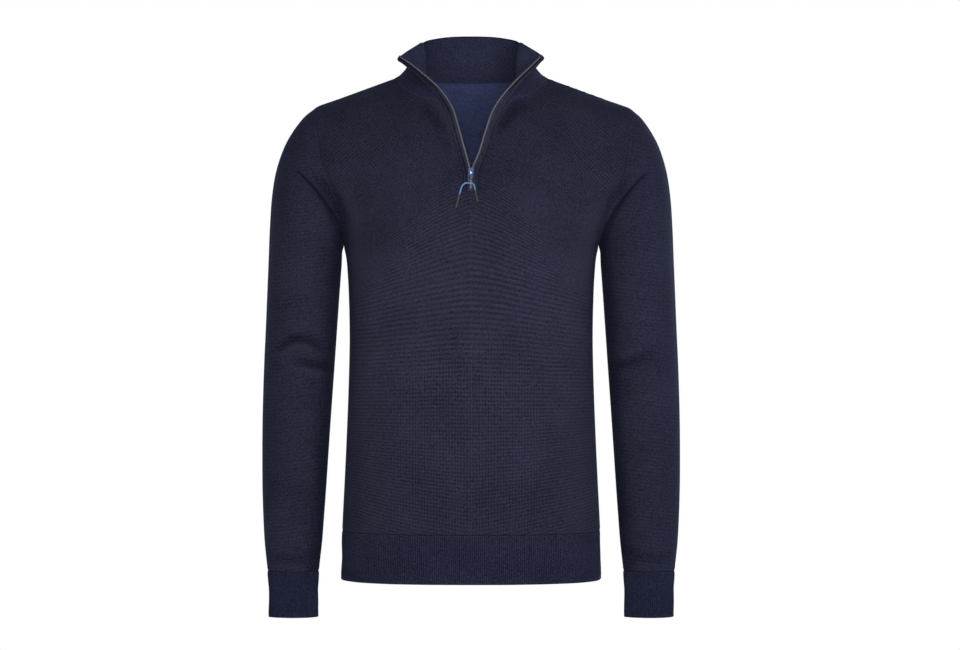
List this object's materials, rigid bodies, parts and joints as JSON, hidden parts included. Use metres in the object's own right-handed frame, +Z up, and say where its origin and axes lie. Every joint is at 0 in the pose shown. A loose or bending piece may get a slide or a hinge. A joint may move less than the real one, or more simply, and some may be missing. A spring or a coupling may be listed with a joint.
{
  "type": "quarter zip sweater",
  "caption": "Fine-knit quarter zip sweater, hollow and filled out as worn, with a stand collar folded open, long sleeves, ribbed hem and cuffs, and a corded zip pull.",
  "frame": {"origin": "middle of the neck opening, level with the points where the shoulder seams meet the collar", "axes": "+Z up the wearer's body, -Y out of the front, +X to the right as seen from the front"},
  "size_m": [0.5618, 0.2283, 0.7832],
  "materials": {
    "jersey": "matte fine-gauge navy knit",
    "rib": "matte navy knit, fine 1x1 rib",
    "collar_knit": "matte navy knit, double layer",
    "edging": "matte navy folded strip",
    "zip_tape": "grey woven tape with moulded teeth",
    "slider_metal": "glossy pale blue metal",
    "cord": "bright blue smooth cord",
    "cord_end": "dark olive grey, moulded"
  },
  "bodies": {
    "sweater": {"front_panel": "jersey", "back_panel": "jersey", "sleeve_left": "jersey", "sleeve_right": "jersey", "hem_front": "rib", "hem_back": "rib", "cuff_left": "rib", "cuff_right": "rib", "collar": "collar_knit", "zip_edging_left": "edging", "zip_edging_right": "edging", "zip_half_left": "zip_tape", "zip_half_right": "zip_tape", "zip_slider": "slider_metal"},
    "pull": {"pull_link": "slider_metal", "pull_cord": "cord", "cord_tip_left": "cord_end", "cord_tip_right": "cord_end"}
  },
  "joints": [
    {"name": "pull_swing", "type": "hinge", "parent": "sweater", "child": "pull", "pos_m": [0, -0.09943, -0.13145], "axis": [-1, 0, 0], "range_deg": [0, 150]}
  ]
}
